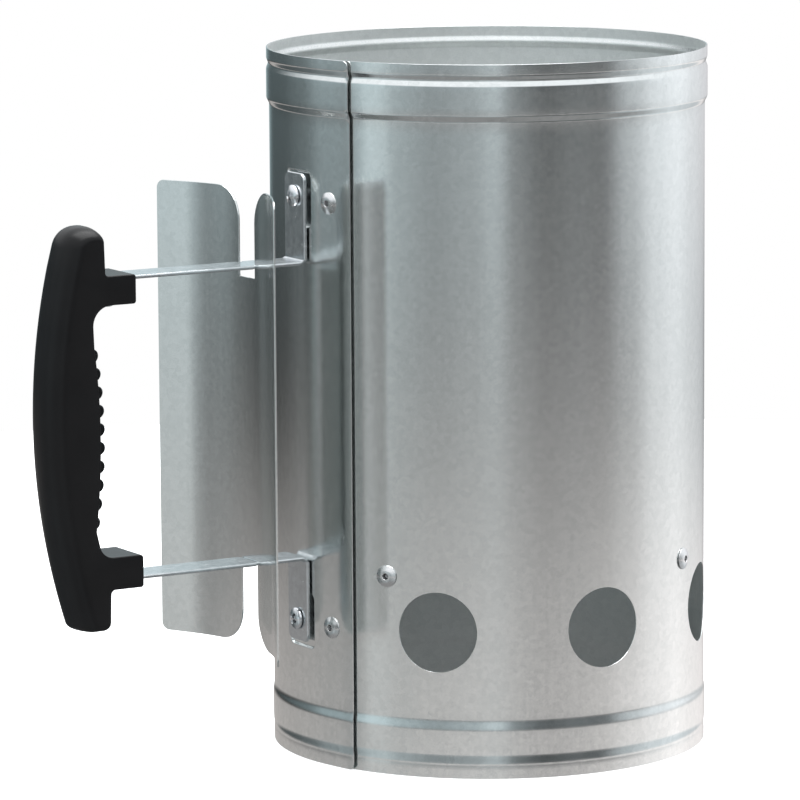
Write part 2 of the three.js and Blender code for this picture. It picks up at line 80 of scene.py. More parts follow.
# The pockets pressed in behind the straps' leg ends, within some degrees of the handle, and the play
# that the frame leaves between pieces.
GAP = 0.3 * MM
POCKET_HALF = 10.3 * MM
POCKET_SIDE = 0.8 * MM
POCKET_CORNER = 2.6 * MM
POCKET_DEGREES = 20
POCKETS = {"upper": (232.0 * MM, 256.4 * MM), "lower": (49.1 * MM, 73.2 * MM)}
POCKET_FLOOR = AXIS.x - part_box("strap_washer_upper")[0].x + GAP + SHEET
SCREW_HOLE = 2.75 * MM
RIVET_HOLE = 1.9 * MM


def smooth_step(t):
    t = np.clip(t, 0.0, 1.0)
    return t * t * (3 - 2 * t)


def rounded(corners, step=10.0, points=None):
    """A closed outline through (x, y, radius) corners, each rounded by an arc.

    An arc has a point for each step in degrees, or a given number of steps.
    """
    outline = []
    count = len(corners)
    for i, (x, y, radius) in enumerate(corners):
        corner = Vector((x, y))
        if radius == 0:
            outline.append(corner)
            continue
        back = (Vector(corners[i - 1][:2]) - corner).normalized()
        on = (Vector(corners[(i + 1) % count][:2]) - corner).normalized()
        half = math.acos(max(-1.0, min(1.0, back.dot(on)))) / 2
        middle = corner + (back + on).normalized() * (radius / math.sin(half))
        start = corner + back * (radius / math.tan(half)) - middle
        sweep = start.angle_signed(corner + on * (radius / math.tan(half)) - middle)
        steps = points or max(2, math.ceil(abs(math.degrees(sweep)) / step))
        for k in range(steps + 1):
            outline.append(middle + Matrix.Rotation(-sweep * k / steps, 2) @ start)
    return outline


def turned(out, across, degrees):
    """A point that far out from the origin and across, at an angle."""
    return Matrix.Rotation(math.radians(degrees), 2) @ Vector((out, across))


def circle(x, y, radius, count):
    turns = [2 * math.pi * i / count for i in range(count)]
    return [Vector((x + radius * math.cos(a), y + radius * math.sin(a))) for a in turns]


def divided(loop, longest):
    """The loop with points added on it, so that no step is longer than longest."""
    points = []
    for a, b in zip(loop, loop[1:] + loop[:1]):
        steps = max(1, math.ceil((b - a).length / longest))
        points += [a.lerp(b, k / steps) for k in range(steps)]
    return points


def evenly(low, high, longest):
    return list(np.linspace(low, high, max(2, math.ceil((high - low) / longest) + 1)))


def inside(points, loop):
    """Which of the points lie inside a closed loop."""
    x, y = points[:, 0], points[:, 1]
    found = np.zeros(len(points), bool)
    for a, b in zip(loop, loop[1:] + loop[:1]):
        if a.y == b.y:
            continue
        crosses = (a.y > y) != (b.y > y)
        found ^= crosses & (x < (b.x - a.x) * (y - a.y) / (b.y - a.y) + a.x)
    return found


def distance_to(points, loop):
    """How far each point is from a closed loop."""
    nearest = np.full(len(points), np.inf)
    for a, b in zip(loop, loop[1:] + loop[:1]):
        along = np.array(b - a)
        offset = points - np.array(a)
        share = np.clip(offset @ along / max(along @ along, 1e-18), 0, 1)
        nearest = np.minimum(nearest, np.linalg.norm(offset - share[:, None] * along, axis=1))
    return nearest


def unit(vectors):
    return vectors / np.maximum(np.linalg.norm(vectors, axis=1, keepdims=True), 1e-12)


def new_mesh(name, vertices, faces):
    mesh = bpy.data.meshes.new(name)
    mesh.from_pydata(vertices, [], faces)
    return mesh


def added(name, data):
    """A new object in the scene."""
    made = bpy.data.objects.new(name, data)
    bpy.context.scene.collection.objects.link(made)
    return made


def finish_piece(name, mesh, slot, material, *nodes):
    """Puts a mesh into the scene as the piece that stands for some CAD nodes."""
    piece = added(name, mesh)
    mesh.materials.clear()
    mesh.materials.append(material)
    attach(piece, "root")
    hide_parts(*nodes)


def sheet_mesh(name, outline, holes, grid, surface, thickness, clear, roundness=0.12):
    """A sheet-metal mesh: a flat blank with holes, pressed on to a surface.

    The outline, the holes and the grid of inner points are in the blank's plane, and surface(u, v)
    gives where its front face goes. The cut edges are slightly rounded all round.
    """
    loops = [outline, *holes]
    inner = np.array(grid, float)
    keep = inside(inner, outline)
    for loop in loops:
        keep &= distance_to(inner, loop) > clear
        if loop is not outline:
            keep &= ~inside(inner, loop)
    flat, edges = [], []
    for loop in loops:
        first = len(flat)
        edges += [(first + i, first + (i + 1) % len(loop)) for i in range(len(loop))]
        flat += loop
    flat += [Vector(p) for p in inner[keep]]
    points, _, triangles, *_ = delaunay_2d_cdt(flat, edges, [], 0, 1e-9)
    plane = np.array(points, float)
    triangles = np.array(triangles, int)
    middles = plane[triangles].mean(axis=1)
    solid = inside(middles, outline)
    for hole in holes:
        solid &= ~inside(middles, hole)
    triangles = triangles[solid]

    step = 0.01 * MM
    u, v = plane[:, 0], plane[:, 1]
    along_u = surface(u + step, v) - surface(u - step, v)
    along_v = surface(u, v + step) - surface(u, v - step)
    normals = unit(np.cross(along_u, along_v))
    front = surface(u, v)

    directed = np.concatenate([triangles[:, [0, 1]], triangles[:, [1, 2]], triangles[:, [2, 0]]])
    present = set(map(tuple, directed))
    border = [(a, b) for a, b in directed if (b, a) not in present]
    away = np.zeros_like(plane)
    for a, b in border:
        run = plane[b] - plane[a]
        turn = np.array([run[1], -run[0]]) / np.linalg.norm(run)
        away[a] += turn
        away[b] += turn
    rim = sorted({a for a, _ in border})
    away = unit(away[rim])
    outwards = away[:, :1] * unit(along_u[rim]) + away[:, 1:] * unit(along_v[rim])

    levels = [0.08, 0.3, 0.5, 0.7, 0.92]
    count, ring = len(plane), len(rim)
    vertices = [front, front - thickness * normals]
    slopes = [normals, -normals]
    for level in levels:
        swell = roundness * thickness * math.sin(math.pi * level)
        vertices.append(front[rim] - thickness * level * normals[rim] + swell * outwards)
        slopes.append(unit(outwards + (0.5 - level) * 1.6 * normals[rim]))
    vertices, slopes = np.concatenate(vertices), np.concatenate(slopes)
    place = {vertex: i for i, vertex in enumerate(rim)}

    def level_vertex(vertex, level):
        if level < 0:
            return vertex
        if level >= len(levels):
            return count + vertex
        return 2 * count + level * ring + place[vertex]

    faces = [tuple(t) for t in triangles]
    faces += [(c + count, b + count, a + count) for a, b, c in triangles]
    loop_slopes = [slopes[i] for face in faces for i in face]
    for a, b in border:
        for level in range(-1, len(levels)):
            face = (
                level_vertex(b, level),
                level_vertex(a, level),
                level_vertex(a, level + 1),
                level_vertex(b, level + 1),
            )
            faces.append(face)
            ends = [min(max(level, 0), len(levels) - 1), min(level + 1, len(levels) - 1)]
            rims = [(b, ends[0]), (a, ends[0]), (a, ends[1]), (b, ends[1])]
            loop_slopes += [slopes[2 * count + k * ring + place[vertex]] for vertex, k in rims]
    mesh = new_mesh(name, vertices.tolist(), faces)
    mesh.shade_smooth()
    mesh.normals_split_custom_set([tuple(n) for n in loop_slopes])
    return mesh


def outwards(out, across, up, degrees=HANDLE_ANGLE):
    """Points given from the chimney's axis, in a plane that stands at an angle round it."""
    turn = np.radians(degrees)
    x = AXIS.x + out * np.cos(turn) - across * np.sin(turn)
    y = AXIS.y + out * np.sin(turn) + across * np.cos(turn)
    return np.stack([x, y, up + np.zeros_like(x)], axis=-1)


# --- The outer shell ---


def wall_step(up):
    """How far the rolled rims and beads stand out from the plain wall at a height."""
    from_end = np.minimum(up, HEIGHT - up)
    steps = []
    for (rim, neck, bead), softness in ((BOTTOM_STEPS, BOTTOM_SOFTNESS), (TOP_STEPS, TOP_SOFTNESS)):
        values = [rim, neck, bead, bead, 0]
        shifts = np.linspace(-softness, softness, 13)
        steps.append(np.mean([np.interp(from_end + s, BENDS, values) for s in shifts], axis=0))
    return np.where(up < HEIGHT / 2, *steps)


def rolled_radius(degrees):
    middle = (LAP_INNER + LAP_OUTER) / 2
    spring = smooth_step((degrees - LAP_OUTER) / LAP_SPRING_DEGREES + 1) * LAP_SPRING
    return WALL_RADIUS + SPIRAL * (degrees - middle) / 360 + spring


def pocket_share(across, up, side):
    """1 on a pocket's flat floor, 0 on the plain wall, and in between on its pressed sides."""
    low, high = POCKETS[side]
    from_side = POCKET_HALF - np.abs(across)
    from_end = np.minimum(up - low, high - up)
    near = np.minimum(from_side, from_end)
    both = (from_side < POCKET_CORNER) & (from_end < POCKET_CORNER)
    diagonal = POCKET_CORNER - np.hypot(POCKET_CORNER - from_side, POCKET_CORNER - from_end)
    return smooth_step(np.where(both, diagonal, near) / POCKET_SIDE)


def shell_surface(u, v):
    """u is the length rolled up since the inner lap edge, at the plain wall's radius."""
    degrees = LAP_INNER + np.degrees(u / WALL_RADIUS)
    radius = rolled_radius(degrees)
    from_handle = degrees - 360 - HANDLE_ANGLE
    across = radius * np.sin(np.radians(from_handle))
    floor_radius = POCKET_FLOOR / np.cos(np.radians(from_handle))
    for side in SIDES:
        share = np.where(np.abs(from_handle) < POCKET_DEGREES, pocket_share(across, v, side), 0)
        radius = radius + share * (floor_radius - radius)
    return outwards(radius + wall_step(v), 0, v, degrees)


def rolled_to(degrees):
    return WALL_RADIUS * math.radians(degrees - LAP_INNER)


def beyond_inner_edge(degrees):
    """The angle's place along the sheet, which starts at the inner lap edge."""
    return degrees if degrees >= LAP_INNER else degrees + 360


def steps_near(places, reach, longest):
    """Close steps round some places."""
    return [x for place in places for x in evenly(place - reach, place + reach, longest)]


def merged(values, closest):
    """Sorted values without those that are closer than that to the one before."""
    kept = []
    for value in sorted(values):
        if not kept or value - kept[-1] >= closest:
            kept.append(value)
    return kept


def outer_shell():
    length = rolled_to(LAP_OUTER)
    handle_place = rolled_to(HANDLE_ANGLE + 360)
    columns = evenly(0, length, 2.2 * MM)
    pocket_sides = [handle_place - POCKET_HALF, handle_place + POCKET_HALF]
    columns += steps_near(pocket_sides, 3 * POCKET_SIDE, 0.2 * MM)
    rows = evenly(0, HEIGHT, 6 * MM) + steps_near([HEIGHT - z for z in BENDS], TOP_SOFTNESS, 0.2 * MM)
    rows += steps_near(BENDS, BOTTOM_SOFTNESS, 0.3 * MM)
    pocket_ends = [z for ends in POCKETS.values() for z in ends]
    rows += steps_near(pocket_ends, 3 * POCKET_SIDE, 0.2 * MM)
    rows = [z for z in merged(rows, 0.19 * MM) if 0 <= z <= HEIGHT]
    grid = [(u, v) for u in merged(columns, 0.19 * MM) for v in rows]
    outline = rounded([
        (0, 0, LAP_CORNER),
        (length, 0, LAP_CORNER),
        (length, HEIGHT, LAP_CORNER),
        (0, HEIGHT, LAP_CORNER),
    ])
    holes = []
    for k in range(1, 8):
        place = rolled_to(beyond_inner_edge((HANDLE_ANGLE + k * VENT_PITCH) % 360))
        holes.append(circle(place, VENT_HEIGHT, VENT_RADIUS, 96))
    for side in SIDES:
        holes.append(circle(handle_place, bolted(f"strap_screw_{side}")[3], SCREW_HOLE, 24))
    for name in RIVETS:
        degrees, height = rivet_place(name)
        for place in (degrees, degrees + 360):
            if LAP_INNER < place < LAP_OUTER:
                holes.append(circle(rolled_to(place), height, RIVET_HOLE, 20))
    mesh = sheet_mesh(
        "outer_shell_sheet", divided(outline, 2.2 * MM), holes, grid, shell_surface, SHEET, 0.5 * MM
    )
    finish_piece("rolled_shell", mesh, "galvanised_sheet", chimney_sheet, "outer_shell")


# --- Turned pieces ---


def rings_joined(count, segments, closed):
    """The faces between rings of points that follow each other, and from the last to the first."""
    faces = []
    for k in range(count if closed else count - 1):
        first, second = k * segments, (k + 1) % count * segments
        for i in range(segments):
            j = (i + 1) % segments
            faces.append((first + i, first + j, second + j, second + i))
    return faces


def turned_mesh(name, profile, segments, ripple=None):
    """A mesh turned about the local X axis from (radius, x) points.

    ripple(angle, x) is a change of radius for each point, such as a thread. A profile that starts off
    the axis is closed on itself.
    """
    radii, lengths = np.array(profile, float).T
    vertices, rows = [], []
    for radius, x in zip(radii, lengths):
        if radius == 0:
            rows.append([len(vertices)] * segments)
            vertices.append((x, 0, 0))
            continue
        rows.append([len(vertices) + i for i in range(segments)])
        for i in range(segments):
            turn = 2 * math.pi * i / segments
            reach = radius + (ripple(turn, x) if ripple else 0)
            vertices.append((x, reach * math.cos(turn), reach * math.sin(turn)))
    faces = []
    closing = rows[:1] if radii[0] > 0 else []
    for lower, upper in zip(rows, rows[1:] + closing):
        for i in range(segments):
            j = (i + 1) % segments
            face = [lower[i], lower[j], upper[j], upper[i]]
            faces.append([v for k, v in enumerate(face) if v not in face[:k]])
    return outward_faces(new_mesh(name, vertices, faces))


def outward_faces(mesh, sharp_degrees=38.0):
    """Turns the faces outwards, and shades all but the sharp edges smooth."""
    build = bmesh.new()
    build.from_mesh(mesh)
    bmesh.ops.recalc_face_normals(build, faces=build.faces)
    build.to_mesh(mesh)
    build.free()
    mesh.shade_smooth()
    mesh.set_sharp_from_angle(angle=math.radians(sharp_degrees))
    return mesh


def arc(radius, x, reach, start, end, points):
    """(radius, x) points on an arc about (radius, x), by angles in degrees from the radius's way."""
    turns = np.radians(np.linspace(start, end, points))
    return [(radius + reach * math.cos(t), x + reach * math.sin(t)) for t in turns]


def stood_out(mesh, degrees, height):
    """Moves a mesh made along +X to stand out from the chimney's axis."""
    place = Matrix.Translation((AXIS.x, AXIS.y, height))
    mesh.transform(place @ Matrix.Rotation(math.radians(degrees), 4, "Z"))
    return mesh


# --- Rivets ---

RIVETS = [f"grate_rivet_{i}" for i in range(1, 5)] + [f"seam_rivet_{side}" for side in SIDES]
FLANGE_RADIUS = 4.7 * MM
SHANK_RADIUS = 1.6 * MM
BORE_RADIUS = 1.3 * MM


def rivet_place(name):
    """A rivet's angle round the chimney, and its height."""
    low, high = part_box(name)
    middle = (low + high) / 2
    return math.degrees(math.atan2(middle.y - AXIS.y, middle.x - AXIS.x)) % 360, middle.z


def rivet_reach(name):
    """How far from the chimney's axis a rivet's tail and the top of its flange are."""
    degrees, _ = rivet_place(name)
    turn = math.radians(degrees)
    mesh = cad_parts[name].data
    reach = [(v.co.x - AXIS.x) * math.cos(turn) + (v.co.y - AXIS.y) * math.sin(turn) for v in mesh.vertices]
    return min(reach), max(reach)


def rivet(name):
    """A set blind rivet: domed flange, open bore, bulbed tail, and the broken mandrel inside it."""
    degrees, height = rivet_place(name)
    tail, top = rivet_reach(name)
    seat = top - 1.3 * MM
    bulb = tail + 2.6 * MM
    sleeve = [
        *arc(BORE_RADIUS + 0.35 * MM, tail + 0.35 * MM, 0.35 * MM, 180, 270, 4),
        *arc(SHANK_RADIUS + 0.3 * MM, tail + 0.7 * MM, 0.7 * MM, -80, 0, 6),
        (2.55 * MM, tail + 1.4 * MM),
        (2.2 * MM, bulb),
        (SHANK_RADIUS, bulb),
        (SHANK_RADIUS, seat - GAP),
        (FLANGE_RADIUS - 0.3 * MM, seat - GAP),
        *arc(FLANGE_RADIUS - 0.2 * MM, seat + 0.05 * MM, 0.2 * MM, -60, 70, 6),
        (4.0 * MM, seat + 0.5 * MM),
        (3.4 * MM, seat + 0.85 * MM),
        (2.7 * MM, seat + 1.14 * MM),
        (2.0 * MM, seat + 1.28 * MM),
        *arc(BORE_RADIUS + 0.25 * MM, seat + 1.05 * MM, 0.25 * MM, 80, 180, 6),
    ]
    mesh = stood_out(turned_mesh(f"{name}_sleeve", sleeve, 48), degrees, height)
    finish_piece(f"{name}_body", mesh, "rivet_aluminium", aluminium, name)
    head = tail - GAP
    stem = BORE_RADIUS - 0.2 * MM
    mandrel = [
        (0, head - 1.6 * MM),
        *arc(0.9 * MM, head - 1.0 * MM, 0.6 * MM, -80, 0, 6),
        (1.5 * MM, head),
        (stem, head),
        (stem, seat - 0.5 * MM),
        (stem * 0.72, seat - 0.25 * MM),
        (stem * 0.55, seat + 0.05 * MM),
        (stem * 0.2, seat - 0.02 * MM),
        (0, seat),
    ]
    mesh = stood_out(turned_mesh(f"{name}_stem", mandrel, 32), degrees, height)
    finish_piece(f"{name}_mandrel_stem", mesh, "mandrel_steel", raw_steel, f"{name}_mandrel")


# --- The fire grate ---

GRATE_SHEET = 1.0 * MM
GRATE_HOLE = 7.8 * MM
GRATE_PITCH = 24 * MM
GRATE_RINGS = 3
GRATE_RADIUS = 92.4 * MM
TAB_HALF = 7 * MM
TAB_FACE = 92.9 * MM
TAB_BEND = 1.8 * MM
TAB_RELIEF = 1.6 * MM
TAB_START = TAB_FACE - TAB_BEND
TAB_BENT = TAB_START + TAB_BEND * math.pi / 2
GRATE_RIVETS = [rivet_place(name)[0] for name in RIVETS[:4]]


def grate_surface(u, v):
    """The plate's top face, with its tabs bent down outside the wall's reach."""
    x, y, z = u + 0.0, v + 0.0, np.full_like(u, grate_high.z)
    for degrees in GRATE_RIVETS:
        way = np.array([math.cos(math.radians(degrees)), math.sin(math.radians(degrees))])
        along = u * way[0] + v * way[1]
        across = v * way[0] - u * way[1]
        tab = (along > TAB_START) & (np.abs(across) < TAB_HALF + 0.5 * MM)
        turn = np.clip((along - TAB_START) / TAB_BEND, 0, math.pi / 2)
        reach = TAB_START + TAB_BEND * np.sin(turn)
        drop = TAB_BEND * (1 - np.cos(turn)) + np.maximum(along - TAB_BENT, 0)
        x = np.where(tab, reach * way[0] - across * way[1], x)
        y = np.where(tab, reach * way[1] + across * way[0], y)
        z = np.where(tab, grate_high.z - drop, z)
    return np.stack([AXIS.x + x, AXIS.y + y, z], axis=-1)


def grate_outline():
    """The blank's edge: a circle, with a tab between two relief notches at each rivet."""
    tab_end = TAB_BENT + grate_high.z - grate_low.z - TAB_BEND
    root = TAB_START - 0.6 * MM
    side = TAB_HALF + TAB_RELIEF
    half = [
        (math.sqrt(GRATE_RADIUS**2 - side**2), side, 0.3 * MM),
        (root, side, 0.7 * MM),
        (root, TAB_HALF, 0.7 * MM),
        (tab_end, TAB_HALF, 2 * MM),
    ]
    shape = [(x, -y, radius) for x, y, radius in half] + half[::-1]
    reach = math.degrees(math.asin(side / GRATE_RADIUS)) + 1
    outline = []
    for degrees, following in zip(GRATE_RIVETS, GRATE_RIVETS[1:] + GRATE_RIVETS[:1]):
        gap = (following - degrees) % 360 - 2 * reach
        outline += [(*turned(x, y, degrees), radius) for x, y, radius in shape]
        steps = 40
        outline += [(*turned(GRATE_RADIUS, 0, degrees + reach + gap * k / steps), 0) for k in range(1, steps)]
    return rounded(outline, 20)


def fire_grate():
    holes = [circle(0, 0, GRATE_HOLE, 48)]
    for ring in range(1, GRATE_RINGS + 1):
        places = circle(0, 0, ring * GRATE_PITCH, 6 * ring)
        holes += [circle(*place, GRATE_HOLE, 48) for place in places]
    _, height = rivet_place(RIVETS[0])
    hole_reach = TAB_BENT + grate_high.z - TAB_BEND - height
    side = evenly(-90 * MM, 90 * MM, 4 * MM)
    grid = [(x, y) for x in side for y in side]
    for degrees in GRATE_RIVETS:
        holes.append(circle(*turned(hole_reach, 0, degrees), RIVET_HOLE, 20))
        for out in evenly(TAB_START, TAB_FACE + 1.2 * MM, 0.3 * MM):
            grid += [turned(out, across, degrees) for across in evenly(-TAB_HALF, TAB_HALF, 1.2 * MM)]
    mesh = sheet_mesh(
        "fire_grate_sheet", grate_outline(), holes, grid, grate_surface, GRATE_SHEET, 0.25 * MM, 0.3
    )
    finish_piece("perforated_grate", mesh, "galvanised_sheet", galvanised, "fire_grate")


# --- The heat shield ---

shield_low, shield_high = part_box("heat_shield")
SHIELD_SHEET = 0.8 * MM
SHIELD_FACE = AXIS.x - shield_high.x
SHIELD_BEND = 85 * MM
SHIELD_WING = math.radians(27)
SHIELD_CORNER = 3.5 * MM
SLOT_HALF = 7 * MM
SLOT_MOUTH = 14.5 * MM


def shield_surface(u, v):
    """The side that faces the hand. u runs across the flat blank."""
    radius = SHIELD_BEND - SHIELD_SHEET
    centre = SHIELD_FACE + SHIELD_BEND
    bent = np.clip(u / radius, -SHIELD_WING, SHIELD_WING)
    straight = u - bent * radius
    out = centre - radius * np.cos(bent) + np.abs(straight) * math.sin(SHIELD_WING)
    across = radius * np.sin(bent) + straight * math.cos(SHIELD_WING)
    return outwards(out, across, v)


def heat_shield():
    radius = SHIELD_BEND - SHIELD_SHEET
    half_width = (shield_high.y - shield_low.y) / 2
    half = radius * SHIELD_WING + (half_width - radius * math.sin(SHIELD_WING)) / math.cos(SHIELD_WING)
    lower_slot = strap_level("lower") + STRAP_THICKNESS / 2 + GAP
    upper_slot = strap_level("upper") - STRAP_THICKNESS / 2 - 4.5 * MM
    low, high = shield_low.z, shield_high.z
    right = [
        (SLOT_HALF, lower_slot, 1 * MM),
        (SLOT_HALF, low, SLOT_MOUTH),
        (half, low, SHIELD_CORNER),
        (half, high, SHIELD_CORNER),
        (SLOT_HALF, high, SLOT_MOUTH),
        (SLOT_HALF, upper_slot, 1 * MM),
    ]
    left = [(-u, v, r) for u, v, r in reversed(right)]
    grid = [(u, v) for u in evenly(-half, half, 2 * MM) for v in evenly(low, high, 5 * MM)]
    mesh = sheet_mesh(
        "heat_shield_sheet", divided(rounded(right + left, 6), 2.5 * MM), [], grid, shield_surface,
        SHIELD_SHEET, 0.6 * MM, 0.2
    )
    finish_piece("bent_heat_shield", mesh, "galvanised_sheet", galvanised, "heat_shield")


# --- The straps ---

STRAP_THICKNESS = 1.6 * MM
STRAP_BEND = 1.0 * MM
NOTCH_HALF = 6.6 * MM
NOTCH_OUT = (118.5 * MM, 121.4 * MM)
strap_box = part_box("handle_strap_upper")
STRAP_HALF = (strap_box[1].y - strap_box[0].y) / 2
LEG_FACE = AXIS.x - strap_box[1].x
STRAP_END = AXIS.x - strap_box[0].x
GRIP_SCREW_OUT = AXIS.x - (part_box("grip_screw_upper")[0].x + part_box("grip_screw_upper")[1].x) / 2


def strap_level(side):
    """The height of the middle of a strap's arm."""
    low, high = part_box(f"handle_strap_{side}")
    return low.z + STRAP_THICKNESS / 2 if side == "upper" else high.z - STRAP_THICKNESS / 2


def handle_strap(side):
    """Flat bar, with its leg in the wall's pocket, one bend, and its arm through the shield to the grip.

    u runs along the inner side of the bend from the leg's end, and v across.
    """
    low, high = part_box(f"handle_strap_{side}")
    up = 1 if side == "upper" else -1
    leg_end = high.z if side == "upper" else low.z
    inner_face = strap_level(side) + up * STRAP_THICKNESS / 2
    leg = abs(leg_end - inner_face) - STRAP_BEND
    quarter = STRAP_BEND * math.pi / 2
    arm_out = LEG_FACE + STRAP_THICKNESS + STRAP_BEND
    arm = STRAP_END - arm_out

    def surface(u, v):
        turn = np.clip((u - leg) / STRAP_BEND, 0, math.pi / 2)
        out = arm_out - STRAP_BEND * np.cos(turn) + np.maximum(u - leg - quarter, 0)
        level = inner_face + up * (STRAP_BEND * (1 - np.sin(turn)) + np.maximum(leg - u, 0))
        return outwards(out, up * v, level)

    def along(out):
        return leg + quarter + out - arm_out

    end = leg + quarter + arm
    half = [
        (0, STRAP_HALF, 3 * MM),
        (along(NOTCH_OUT[0]), STRAP_HALF, 0.35 * MM),
        (along(NOTCH_OUT[0]), NOTCH_HALF, 0.35 * MM),
        (along(NOTCH_OUT[1]), NOTCH_HALF, 0.35 * MM),
        (along(NOTCH_OUT[1]), STRAP_HALF, 0.35 * MM),
        (end, STRAP_HALF, 0.8 * MM),
    ]
    corners = [(u, -v, radius) for u, v, radius in half] + half[::-1]
    outline = divided(rounded(corners, 9), 2 * MM)
    screw_height = bolted(f"strap_screw_{side}")[3]
    holes = [
        circle(abs(leg_end - screw_height), 0, SCREW_HOLE, 40),
        circle(along(GRIP_SCREW_OUT), 0, RIVET_HOLE, 28),
    ]
    columns = merged(evenly(0, end, 2 * MM) + evenly(leg, leg + quarter, 0.16 * MM), 0.15 * MM)
    grid = [(u, v) for u in columns for v in evenly(-STRAP_HALF, STRAP_HALF, 2 * MM)]
    mesh = sheet_mesh(
        f"strap_{side}_bar", outline, holes, grid, surface, STRAP_THICKNESS, 0.3 * MM, 0.22
    )
    name = f"handle_strap_{side}"
    finish_piece(f"{name}_bar", mesh, "zinc_plate", zinc_plate, name)


# --- Screws, washers and nuts ---

SCREW_RADIUS = 2.4 * MM
THREAD_PITCH = 0.8 * MM
THREAD_DEPTH = 0.35 * MM
SCREW_TURNS = {"upper": 24.0, "lower": 61.0}


def thread(start, end, pitch, depth):
    """A ripple that cuts a helical V thread between two lengths, and runs out at both."""

    def ripple(turn, x):
        if not start <= x <= end:
            return 0
        run_out = min(1, (x - start) / pitch, (end - x) / pitch)
        wave = abs(2 * ((x / pitch - turn / (2 * math.pi)) % 1) - 1)
        return -depth * run_out * wave

    return ripple


def cut(piece_mesh, cutter_mesh):
    """The first mesh less the second, both closed."""
    body, cutter = added("body", piece_mesh), added("cutter", cutter_mesh)
    boolean = body.modifiers.new("cut", "BOOLEAN")
    boolean.operation = "DIFFERENCE"
    boolean.object = cutter
    boolean.solver = "MANIFOLD"
    evaluated = body.evaluated_get(bpy.context.evaluated_depsgraph_get())
    result = bpy.data.meshes.new_from_object(evaluated)
    bpy.data.objects.remove(body)
    bpy.data.objects.remove(cutter)
    return outward_faces(result)


def cross_cutter(top, reach, width, depth):
    """A tapered cross along X, wide at the top, that leaves a screw head's recess."""
    levels = [
        (reach * 0.34, width * 0.32, top - depth),
        (reach * 0.74, width * 0.42, top - depth * 0.42),
        (reach, width / 2, top + 0.1 * MM),
        (reach, width / 2, top + 2 * MM),
    ]
    vertices, faces = [], []
    for crosswise in (False, True):
        first = len(vertices)
        for length, half, x in levels:
            for a, b in ((length, half), (-length, half), (-length, -half), (length, -half)):
                vertices.append((x, -b, a) if crosswise else (x, a, b))
        ends = [range(4), range(len(vertices) - first - 4, len(vertices) - first)]
        for face in [*rings_joined(len(levels), 4, False), *ends]:
            faces.append([first + i for i in face])
    return outward_faces(new_mesh("cross", vertices, faces))


def pan_head(seat, radius, height):
    """The profile of a domed head from its rim to its middle, seat down."""
    rise = 0.62 * height
    sphere = (radius**2 + rise**2) / (2 * rise)
    edge = math.degrees(math.asin(radius / sphere)) * 0.93
    middle = seat + height - sphere
    dome = [(r, x) for x, r in arc(middle, 0, sphere, edge, 0, 12)]
    return [
        *arc(radius - 0.25 * MM, seat + 0.25 * MM, 0.25 * MM, -90, 0, 5),
        (radius, seat + 0.3 * height),
        *dome[:-1],
        (0, seat + height),
    ]


def bolted(name):
    """How far a bolted piece reaches from the chimney's axis, its radius, and its height."""
    low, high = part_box(name)
    return AXIS.x - high.x, AXIS.x - low.x, (high.z - low.z) / 2, (low.z + high.z) / 2


def strap_screw(side):
    name = f"strap_screw_{side}"
    tip, top, head_radius, height = bolted(name)
    seat = LEG_FACE + STRAP_THICKNESS + GAP
    shank = [(SCREW_RADIUS, x) for x in np.arange(tip + 0.5 * MM, seat - GAP, 0.08 * MM)]
    profile = [
        (0, tip),
        (SCREW_RADIUS - 0.6 * MM, tip),
        *shank,
        (SCREW_RADIUS, seat),
        *pan_head(seat, head_radius, top - seat),
    ]
    ripple = thread(tip, seat - 1 * MM, THREAD_PITCH, THREAD_DEPTH)
    mesh = turned_mesh(name, profile, 48, ripple)
    mesh = cut(mesh, cross_cutter(top, 3.1 * MM, 1.5 * MM, 2.1 * MM))
    mesh.transform(Matrix.Rotation(math.radians(SCREW_TURNS[side]), 4, "X"))
    stood_out(mesh, HANDLE_ANGLE, height)
    finish_piece(f"{name}_pan_head", mesh, "zinc_plate", bright_zinc, name)


def strap_washer(side):
    name = f"strap_washer_{side}"
    inner, outer, radius, height = bolted(name)
    edge = 0.22 * MM
    profile = []
    for middle, x, start in (
        (SCREW_HOLE + edge, inner + edge, 180),
        (radius - edge, inner + edge, 270),
        (radius - edge, outer - edge, 0),
        (SCREW_HOLE + edge, outer - edge, 90),
    ):
        profile += arc(middle, x, edge, start, start + 90, 4)
    mesh = stood_out(turned_mesh(name, profile, 64), HANDLE_ANGLE, height)
    finish_piece(f"{name}_ring", mesh, "zinc_plate", bright_zinc, name)


def strap_nut(side):
    """A hexagon nut with chamfered corners and a chamfered bore."""
    name = f"strap_nut_{side}"
    inner, outer, corner, height = bolted(name)
    flat = corner * math.cos(math.pi / 6)
    face = flat * 0.985
    bore_chamfer = 0.4 * MM
    segments = 96
    vertices = []

    def add_ring(radius, x):
        """A ring of points. The sides' rings have no radius of their own, and are chamfered."""
        for i in range(segments):
            turn = 2 * math.pi * i / segments
            reach = radius or flat / math.cos((turn + math.pi / 2) % (math.pi / 3) - math.pi / 6)
            drop = 0 if radius else (reach - face) * math.tan(math.radians(30))
            place = x + drop if x == inner else x - drop
            vertices.append((place, reach * math.cos(turn), reach * math.sin(turn)))

    for radius, x in (
        (SCREW_HOLE, inner + bore_chamfer),
        (SCREW_HOLE + bore_chamfer, inner),
        (face, inner),
        (None, inner),
        (None, outer),
        (face, outer),
        (SCREW_HOLE + bore_chamfer, outer),
        (SCREW_HOLE, outer - bore_chamfer),
    ):
        add_ring(radius, x)
    faces = rings_joined(len(vertices) // segments, segments, True)
    mesh = outward_faces(new_mesh(name, vertices, faces), 24)
    stood_out(mesh, HANDLE_ANGLE, height)
    finish_piece(f"{name}_hexagon", mesh, "zinc_plate", bright_zinc, name)


